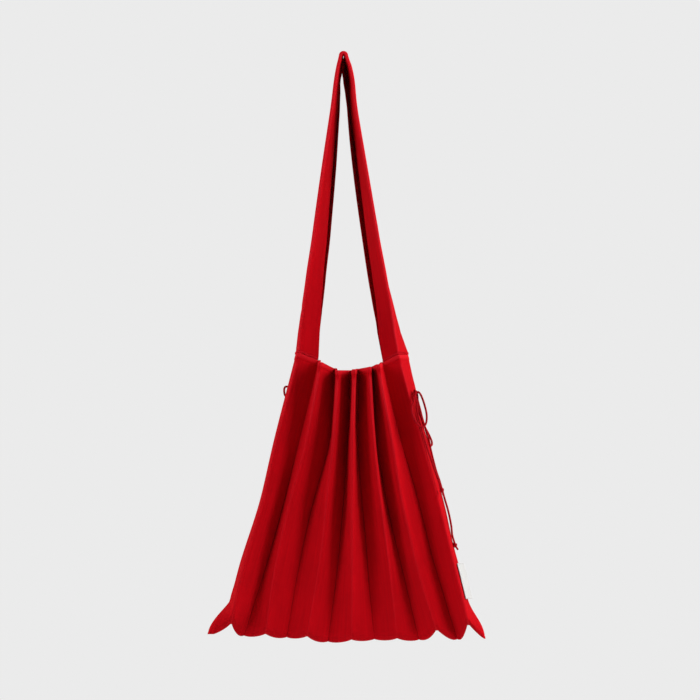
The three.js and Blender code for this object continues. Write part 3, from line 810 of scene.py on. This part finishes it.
def edgeFacts(i):
    i %= circleCount
    if not isFold(i):
        side = sideTable[1 if i == foldCount else -1]
        return side["sag"], side["drop"], True
    fold = foldTable[foldOf(i)]
    return fold[6], fold[7], False


def mouthZ(column):
    here, after = edgeFacts(column[0]), edgeFacts(column[0] + 1)
    return -bodyShape["strapDrop"] - bodyShape["mouthSag"] * mix(here[0], after[0], column[2])


def hemZ(column):
    here, after = edgeFacts(column[0]), edgeFacts(column[0] + 1)
    if here[2] or after[2]:
        drop = mix(here[1], after[1], column[2])
    else:
        along = 1 - column[2] if here[1] > after[1] else column[2]
        low, high = max(here[1], after[1]), min(here[1], after[1])
        drop = mix(high, low, math.sin(along * math.pi / 2))
    lobe = bodyShape["lobe"] * math.sin(math.pi * column[2]) ** 0.6 if column[2] else 0.0
    return -bodyShape["strapDrop"] - bodyShape["height"] - bodyShape["scallop"] * drop - lobe


# rows from the inside of the hem up, over the mouth's edge, and down the outside
def listBodyRows():
    def downwards(side, count, turns):
        rows = [(side, "rim", distance) for distance in bodyShape["rimRows"]]
        rows += [(side, "down", k / count) for k in range(1, count + 1)]
        return rows + [(side, "turn", turned) for turned in turns]

    turns = bodyShape["turnRows"]
    over = [(0, "edge", math.radians(angle)) for angle in bodyShape["edgeRows"]]
    inside = downwards(-1, bodyShape["innerRows"], turns[::2])
    return inside[::-1] + over + downwards(1, bodyShape["outerRows"], turns)


bodyRows = listBodyRows()


def bodySwell(column, z):
    i, _, across = column
    if not across:
        return 0.0
    amount = bodyShape["sidePillow" if i % circleCount in sidePanels else "pillow"]
    calm = ease((-z - bodyShape["strapDrop"] - 24) / 30) * ease((0.96 - heightOf(z)) / 0.12)
    wave = drift(i * 5.3, z / 70.0) + 0.4 * drift(i * 9.1 + across * 2, z / 22.0)
    return amount * calm * math.sin(math.pi * across) * wave


def bodyPoint(c, r):
    column = bodyColumns[c]
    side, kind, value = bodyRows[r]
    half = bodyShape["wall"] / 2
    top = mouthZ(column)
    bottom = hemZ(column) + (bodyShape["wall"] if side < 0 else 0)
    rounding = bodyShape["hemRound"] - (bodyShape["wall"] if side < 0 else 0)
    turned = 0.0
    rim = bodyShape["rimProud"]
    if kind == "edge":
        outwards = (half + rim) * math.cos(value)
        z = top - half * (1 - math.sin(value))
        return *columnPoint(column, heightOf(z), outwards), z
    if kind == "rim":
        z = top - half - value
        rim *= 1 - ease((value - bodyShape["rimDepth"] + 0.9) / 1.2)
    elif kind == "down":
        z = mix(top - half - bodyShape["rimRows"][-1], bottom + rounding, value)
        rim = 0.0
    else:
        z = bottom + rounding * (1 - value)
        turned = value
        rim = 0.0
    outwards = side * (half + rim) + bodySwell(column, z)
    if side > 0:
        groove = math.exp(-((z - bottom - bodyShape["hemLine"]) / 0.7) ** 2)
        outwards -= bodyShape["hemLineDepth"] * groove
    x, y = columnPoint(column, heightOf(z), outwards)
    squareness = bodyShape["hemSquareness"]
    return x, y * (1 - turned ** squareness) ** (1 / squareness), z


def flatAcross(c):
    i, turned, across = bodyColumns[c]
    widths = [bodyShape["sideFold" if k in sidePanels else "pleat"] for k in range(circleCount)]
    start = sum(widths[:i])
    if i >= circleCount:
        return start
    bend = 2 * bodyShape["foldRadius"]
    return start + (bend + (widths[i] - bend) * across if across else bend * turned)


flatColumns = [flatAcross(c) for c in range(len(bodyColumns))]


def bodyFlat(c, r):
    return flatColumns[c], -bodyPoint(c, r)[2] - bodyShape["strapDrop"]


# painted highlight on the turned edge of the mouth and along the outer folds, strongest near the mouth
def foldWear(c, r):
    i, turned, across = bodyColumns[c]
    side, kind, value = bodyRows[r]
    if kind == "edge":
        return 1.0
    if kind == "rim":
        return bodyShape["rimWear"] * (1 - ease(value / bodyShape["rimDepth"]))
    if side < 0 or across or not isFold(i) or not foldTable[foldOf(i)][0]:
        return 0.0
    fade = ease(value / bodyShape["highlightFade"]) if kind == "down" else 1.0
    return mix(bodyShape["highlightAtMouth"], bodyShape["highlightBelow"], fade) * math.sin(math.pi * turned) ** 2


# painted shade in each inner fold, fainter towards the mouth
def valleyShade(c, r):
    i, turned, across = bodyColumns[c]
    side, kind, value = bodyRows[r]
    if side <= 0 or across or kind == "rim" or not isFold(i) or foldTable[foldOf(i)][0]:
        return 0.0
    strength = ease(value / bodyShape["valleyShadeFade"]) if kind == "down" else 1 - value
    return strength * math.sin(math.pi * turned)


body, bodySpots = layCloth("pleated_body", len(bodyColumns) - 1, len(bodyRows) - 1, bodyPoint, bodyFlat)
markPoints(body, bodySpots, "foldWear", foldWear)
markPoints(body, bodySpots, "valleyShade", valleyShade)
closeUp(body)
body.data.materials.append(redKnit)
smooth(body, 70)
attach(body, "root")
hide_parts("body")
print("body pleated", len(body.data.polygons))


# the strap

strapShape = {
    "topRadius": 3.4,
    "topFace": 2.3,
    "topFold": 1.2,
    "edgeGap": 1.6,
    "edgeEase": 3,
    "topBulge": 1.0,
    "pegRise": 0.6,
    "sideOpens": 0.7,
    "leadEase": 0.8,
    "gap": 0.3,
    "seamHeight": 2.6,
    "runSteps": 60,
    "bendSteps": 14,
    "endSteps": 5,
    "creaseAt": -293.0,  # a faint fold across the left run
    "creaseDepth": 0.35,
    "creaseWidth": 1.6,
    "pillow": 0.55,  # how far a face may swell or sink
    "shoulderAt": 0.07,  # the share of the run where it swells most, under the peg
    "shoulderSpan": 0.07,
    "shoulderStart": 0.03,
}

# lean moves the back's inner edge inwards and nudge the whole run outwards, at shares of the run
strapRuns = {
    "left": {"sign": -1, "first": 25, "corner": 0, "edge": 1, "bow": 2.2, "shoulder": 1.2, "backLead": 4.4,
             "lean": [(0.04, 0.0), (0.085, -2.2), (0.13, -1.4), (0.2, -0.8), (0.4, 0.0), (0.8, 0.0),
                      (0.93, -0.8), (1.0, 0.0)],
             "nudge": [(0.6, 0.0), (0.75, 1.1), (0.83, 1.5), (0.93, 1.7), (1.0, 1.2)]},
    "right": {"sign": 1, "first": 11, "corner": 12, "edge": 11, "bow": 0.2, "shoulder": 2.6, "backLead": 6.4,
              "lean": [(0.0, 0.0), (0.03, 1.9), (0.05, 2.6), (0.085, 1.7), (0.13, 0.35), (0.17, -0.4),
                       (0.3, 0.0), (0.6, 0.0), (0.75, 1.2), (0.83, 1.5), (0.9, 0.4), (1.0, 0.0)],
              "nudge": [(0.6, 0.0), (0.75, 0.9), (0.83, 1.5), (0.9, 1.0), (0.95, 0.2)]},
}

strapColumns = []
for circleNumber in range(4):
    for k in range(7):
        if circleNumber or k == 6:
            strapColumns.append((circleNumber, k / 6, 0.0))
    for across in bodyShape["acrossShares"]:
        strapColumns.append((circleNumber, 1.0, across))
strapColumns.append((4, 0.0, 0.0))


# a swelling of the run just under the peg
def shoulder(run, share):
    offset = (share - strapShape["shoulderAt"]) / strapShape["shoulderSpan"]
    return run["shoulder"] * math.exp(-offset ** 2) * ease(share / strapShape["shoulderStart"])


def strapCircles(run, share):
    bagFace = abs(foldX(run["edge"], 0) - foldX(run["corner"], 0))
    face = mix(strapShape["topFace"], bagFace, share)
    opens = strapShape["sideOpens"]
    bulge = mix(strapShape["topBulge"], sideBulge(run["sign"], 0), clamp((share - opens) / (1 - opens)) ** 2)
    depth = math.sqrt(bodyShape["sideFold"] ** 2 - bulge ** 2)
    lead = run["backLead"] * math.sin(math.pi * share ** strapShape["leadEase"])
    lead += shoulder(run, share) + curve(run["lean"], share)
    bend = -bodyShape["foldRadius"] * share
    corner = mix(strapShape["topFold"], bodyShape["foldRadius"], math.sqrt(share))

    def edgeDepth(width):
        turned = math.sqrt(max(bodyShape["pleat"] ** 2 - width ** 2, 0))
        shut = max(depth - turned, strapShape["edgeGap"])
        return mix(shut, bodyShape["valleyAtMouth"], share ** strapShape["edgeEase"]) - bend

    side = bodyShape["sideFoldRadius"]
    return [
        (-face, -edgeDepth(face), bend),
        (0.0, -depth + corner, corner),
        (bulge - side, 0.0, side),
        (0.0, depth - corner, corner),
        (-face - lead, edgeDepth(face + lead), bend),
    ]


def strapPoint(column, circles, outwards):
    i, turned, across = column
    last = len(circles) - 1
    here, after, before = circles[i], circles[min(i + 1, last)], circles[max(i - 1, 0)]
    angleOut = runAngle(here, after) if i < last else runAngle(before, here)
    angleIn = runAngle(before, here) if i else angleOut
    return beltPoint(here, after, (angleIn, angleOut), turned, across, outwards)


def edgeOfBag(run, outwards, rise):
    points = []
    for i, turned, across in strapColumns:
        under = ((run["first"] + i) % circleCount, turned, across)
        z = mouthZ(under)
        points.append(Vector((*columnPoint(under, heightOf(z), outwards), z + rise)))
    return points if run["sign"] > 0 else points[::-1]


def strapSwell(column, sign, along):
    i, _, across = column
    if not across:
        return 0.0
    wave = drift(i * 4.1 + sign * 11, along / 55.0) + 0.5 * drift(i * 7.7 + sign * 5, along / 19.0)
    calm = ease(along / 25) * ease((strapShape["pegRise"] + 340 - along) / 20)
    return strapShape["pillow"] * calm * math.sin(math.pi * across) * wave


def strapRing(run, share, outwards):
    bagCorner = abs(foldX(run["corner"], 0))
    corner = mix(strapShape["topRadius"], bagCorner, share) + run["bow"] * math.sin(math.pi * share)
    corner += shoulder(run, share) + curve(run["nudge"], share)
    z = -strapShape["pegRise"] - share * (bodyShape["strapDrop"] - strapShape["pegRise"])
    circles = strapCircles(run, share)
    ring = []
    for column in strapColumns:
        swell = strapSwell(column, run["sign"], -z)
        if run["sign"] < 0:
            offset = (z - strapShape["creaseAt"]) / strapShape["creaseWidth"]
            swell -= strapShape["creaseDepth"] * math.exp(-offset ** 2)
        x, y = strapPoint(column, circles, outwards + swell)
        ring.append(Vector((run["sign"] * (corner + x), y, z)))
    return ring


def bendRing(turn, outwards):
    circles = strapCircles(strapRuns["left"], 0)
    angle = math.pi * (1 - turn)
    ring = []
    for column in strapColumns:
        x, y = strapPoint(column, circles, outwards)
        reach = strapShape["topRadius"] + x
        ring.append(Vector((reach * math.cos(angle), y, reach * math.sin(angle) - strapShape["pegRise"])))
    return ring


def runRings(run, outwards):
    low = 0.93
    foot = edgeOfBag(run, outwards, 2 * strapShape["gap"] + strapShape["seamHeight"])
    last = strapRing(run, low, outwards)
    rings = [[a.lerp(b, ease(k / strapShape["endSteps"])) for a, b in zip(foot, last)]
             for k in range(strapShape["endSteps"])]
    steps = strapShape["runSteps"]
    rings += [strapRing(run, low * (steps - k) / steps, outwards) for k in range(steps)]
    return rings


def strapSurface(outwards):
    steps = strapShape["bendSteps"]
    rings = runRings(strapRuns["right"], outwards)
    rings += [bendRing(1 - k / steps, outwards) for k in range(steps + 1)]
    rings += runRings(strapRuns["left"], outwards)[::-1]
    return rings


# round the cut edges between the outer and the inner face
def roundEdge(outer, middle, edge, beside):
    away = (middle[edge] - middle[beside]).normalized() * (outer[edge] - middle[edge]).length
    normal = outer[edge] - middle[edge]
    points = []
    for k in range(1, 4):
        angle = math.pi * k / 4
        points.append(middle[edge] + normal * math.cos(angle) + away * math.sin(angle) * 0.8)
    return points


def makeStrap():
    half = bodyShape["wall"] / 2
    outerRings, middleRings, innerRings = (strapSurface(d) for d in (half, 0.0, -half))
    wide = len(strapColumns)
    rings = []
    for outer, middle, inner in zip(outerRings, middleRings, innerRings):
        far = roundEdge(outer, middle, wide - 1, wide - 2)
        near = roundEdge(outer, middle, 0, 1)
        rings.append(outer + far + inner[::-1] + near[::-1] + outer[:1])
    # each end closes on its own middle line
    ends = []
    for middle in (middleRings[0], middleRings[-1]):
        ends.append(middle + [middle[-1]] * 3 + middle[::-1] + [middle[0]] * 4)
    rings = [ends[0]] + rings + [ends[1]]
    centre = wide // 2
    along = lengthsAlong([ring[centre] for ring in middleRings])
    along = [along[0]] + along + [along[-1]]
    spread = lengthsAlong(middleRings[4])
    width = spread[-1]
    flatAt = spread + [width + k for k in (0.8, 1.6, 2.4)] + spread[::-1] + [-2.4, -1.6, -0.8, 0.0]
    strap, spots = layCloth("knit_strap", len(flatAt) - 1, len(rings) - 1,
                            lambda c, r: rings[r][c], lambda c, r: (flatAt[c], along[r]))

    # painted highlight along the strap's two corner folds
    def highlight(c, r):
        if c >= wide:
            return 0.0
        i, turned, across = strapColumns[c]
        return math.sin(math.pi * turned) if i in (1, 3) and not across else 0.0

    markPoints(strap, spots, "foldWear", highlight)
    closeUp(strap, 0.01)
    return strap, width, along[-1]


strap, strapWidth, strapLength = makeStrap()
strap.data.materials.append(redKnit)
smooth(strap, 70)
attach(strap, "root")
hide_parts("strap")
print("strap folded", round(strapWidth), "by", round(strapLength))


# the overlocked ridges that join strap and bag

seamShape = {
    "proud": 0.5,
    "pitch": 1.7,  # from stitch to stitch
    "yarn": 0.42,  # half its thickness
    "loft": 0.12,
    "corner": 0.9,
    "flatStep": 1.1,
}


def ridgeSection(run):
    out = bodyShape["wall"] / 2 + seamShape["proud"]
    low, high = strapShape["gap"], strapShape["gap"] + strapShape["seamHeight"]
    soft = seamShape["corner"]
    rounded = [(out, low + soft * 0.4), (out, high - soft), (out - soft * 0.35, high - soft * 0.3),
               (out - soft, high)]
    loop = rounded + [(-x, rise) for x, rise in reversed(rounded)]
    loop += [(-out + soft * 0.5, low), (out - soft * 0.5, low)]
    return [edgeOfBag(run, outwards, rise) for outwards, rise in loop]


def makeRidge(name, run):
    rings = ridgeSection(run)
    count = len(rings)
    steps = len(strapColumns)
    middle = [sum((ring[k] for ring in rings), Vector()) / count for k in range(steps)]
    along = lengthsAlong(middle)

    def place(c, r):
        k = min(max(r - 1, 0), steps - 1)
        return middle[k] if r in (0, steps + 1) else rings[c % count][k]

    def flat(c, r):
        return c * seamShape["flatStep"], along[min(max(r - 1, 0), steps - 1)]

    ridge, _ = layCloth(name, count, steps + 1, place, flat)
    closeUp(ridge, 0.01)
    return ridge, rings, along


# yarn wraps the ridge in slanting loops, one after another
def wrapRidge(ridge, rings, along):
    count = len(rings)

    def ringAt(distance):
        k = 0
        while k + 2 < len(along) and along[k + 1] < distance:
            k += 1
        share = clamp((distance - along[k]) / (along[k + 1] - along[k]))
        return [ring[k].lerp(ring[k + 1], share) for ring in rings]

    turns = int(along[-1] / seamShape["pitch"]) - 1
    points = []
    for turn in range(turns):
        for c in range(count):
            distance = seamShape["pitch"] * (0.5 + turn + c / count)
            section = ringAt(distance)
            centre = sum(section, Vector()) / count
            outwards = (section[c] - centre).normalized()
            loft = seamShape["loft"] * drift(turn * 1.7, c * 0.9)
            points.append(section[c] + outwards * (seamShape["loft"] + loft))
    line, _ = smoothLine(points, 0.75)
    joinTo(ridge, tubeAlong(ridge.name + "_yarn", line, seamShape["yarn"], 6))


for hand, run in strapRuns.items():
    ridge, rings, along = makeRidge(hand + "_overlock", run)
    wrapRidge(ridge, rings, along)
    ridge.data.materials.append(seamYarn)
    smooth(ridge, 60)
    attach(ridge, "root")
    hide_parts(hand + "_strap_seam")
print("seams overlocked")


# the bare woven label on the right side

labelShape = {
    "top": 243.0,  # below the foot of the strap
    "width": 18.0,
    "height": 41.0,
    "thickness": 0.8,
    "lift": 4.5,
    "clearance": 0.9,
    "curl": 1.5,
    "wave": 0.5,
    "from": 0.22,
    "to": 0.98,
    "columns": 16,
    "rows": 30,
    "bevel": 0.2,
}


def labelPoint(c, r):
    share, down = c / labelShape["columns"], r / labelShape["rows"]
    height = (labelShape["top"] + labelShape["height"] * down) / bodyShape["height"]
    z = -bodyShape["strapDrop"] - height * bodyShape["height"]
    lift = labelShape["lift"] * share ** labelShape["curl"]
    lift += labelShape["wave"] * share * math.sin(down * math.pi * 1.3 + 0.4)
    across = mix(labelShape["from"], labelShape["to"], share)
    outwards = bodyShape["wall"] / 2 + labelShape["clearance"] + lift + labelShape["thickness"] / 2
    return *columnPoint((foldCount - 1, 1.0, across), height, outwards), z


def labelFlat(c, r):
    return c / labelShape["columns"] * labelShape["width"], r / labelShape["rows"] * labelShape["height"]


label, _ = layCloth("woven_label", labelShape["columns"], labelShape["rows"], labelPoint, labelFlat)
finishWith(label, "SOLIDIFY", thickness=labelShape["thickness"] * mm, offset=0.0, use_even_offset=True)
finishWith(label, "BEVEL", width=labelShape["bevel"] * mm, segments=2, limit_method="ANGLE",
           angle_limit=math.radians(60))
label.data.materials.append(labelTape)
smooth(label, 60)
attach(label, "root")
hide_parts("side_label")
print("label sewn on")


# floor, light and background

studio = {
    "floor": -0.82,
    "floorRadius": 0.95,
    "background": 0.831,
    "ambient": 0.115,
    "soft": {"power": (13.8, 18.8), "place": (1.3, -0.7, 0.35), "size": (0.45, 1.1)},  # left, right
    "rim": {"power": (6.0, 15.0), "place": (1.6, 0.0, 0.1), "size": (0.6, 1.2)},
    "back": {"power": (7.0, 7.0), "place": (1.4, 1.0, 0.4), "size": (1.0, 1.3)},
    "aim": (0.0, 0.0, -0.4),
}


def layFloor():
    deselectAll()
    bpy.ops.mesh.primitive_circle_add(vertices=96, radius=studio["floorRadius"], fill_type="NGON",
                                      location=(0, 0, studio["floor"]))
    floor = bpy.context.object
    floor.name = "floor"
    bpy.ops.object.transform_apply(location=True, rotation=False, scale=False)
    material = bpy.data.materials.new("paleFloor")
    material.use_nodes = True
    tree = material.node_tree
    shader = tree.nodes["Principled BSDF"]
    place = addNode(tree, "ShaderNodeTexCoord")
    grain = addNode(tree, "ShaderNodeTexNoise",
                    {"Vector": place.outputs["Object"], "Scale": 9.0, "Detail": 4.0})
    tone = mixColors(tree, grain.outputs["Fac"], (0.8, 0.8, 0.8, 1), (0.84, 0.84, 0.84, 1))
    tree.links.new(tone, shader.inputs["Base Color"])
    shader.inputs["Roughness"].default_value = 0.9
    floor.data.materials.append(material)


def addSoftbox(name, place, size, power):
    data = bpy.data.lights.new(name, "AREA")
    data.shape = "RECTANGLE"
    data.size, data.size_y = size
    data.energy = power
    light = bpy.data.objects.new(name, data)
    light.location = place
    aim = Vector(studio["aim"]) - Vector(place)
    light.rotation_euler = aim.to_track_quat("-Z", "Y").to_euler()
    scene.collection.objects.link(light)


def lightStage():
    for kind in ("soft", "rim", "back"):
        facts = studio[kind]
        x, y, z = facts["place"]
        for hand, side, power in zip(("Left", "Right"), (-1, 1), facts["power"]):
            addSoftbox(kind + hand, (side * x, y, z), facts["size"], power)
    world = bpy.data.worlds.new("studio")
    scene.world = world
    world.use_nodes = True
    tree = world.node_tree
    tree.nodes.clear()
    grey = (*[studio["background"]] * 3, 1)
    seen = addNode(tree, "ShaderNodeBackground", {"Color": grey, "Strength": 1.0})
    lit = addNode(tree, "ShaderNodeBackground", {"Color": (1, 1, 1, 1), "Strength": studio["ambient"]})
    path = addNode(tree, "ShaderNodeLightPath")
    both = addNode(tree, "ShaderNodeMixShader",
                   {0: path.outputs["Is Camera Ray"], 1: lit.outputs[0], 2: seen.outputs[0]})
    addNode(tree, "ShaderNodeOutputWorld", {"Surface": both.outputs[0]})


layFloor()
lightStage()
scene.view_settings.view_transform = "Standard"
print("studio lit")

bpy.context.view_layer.update()
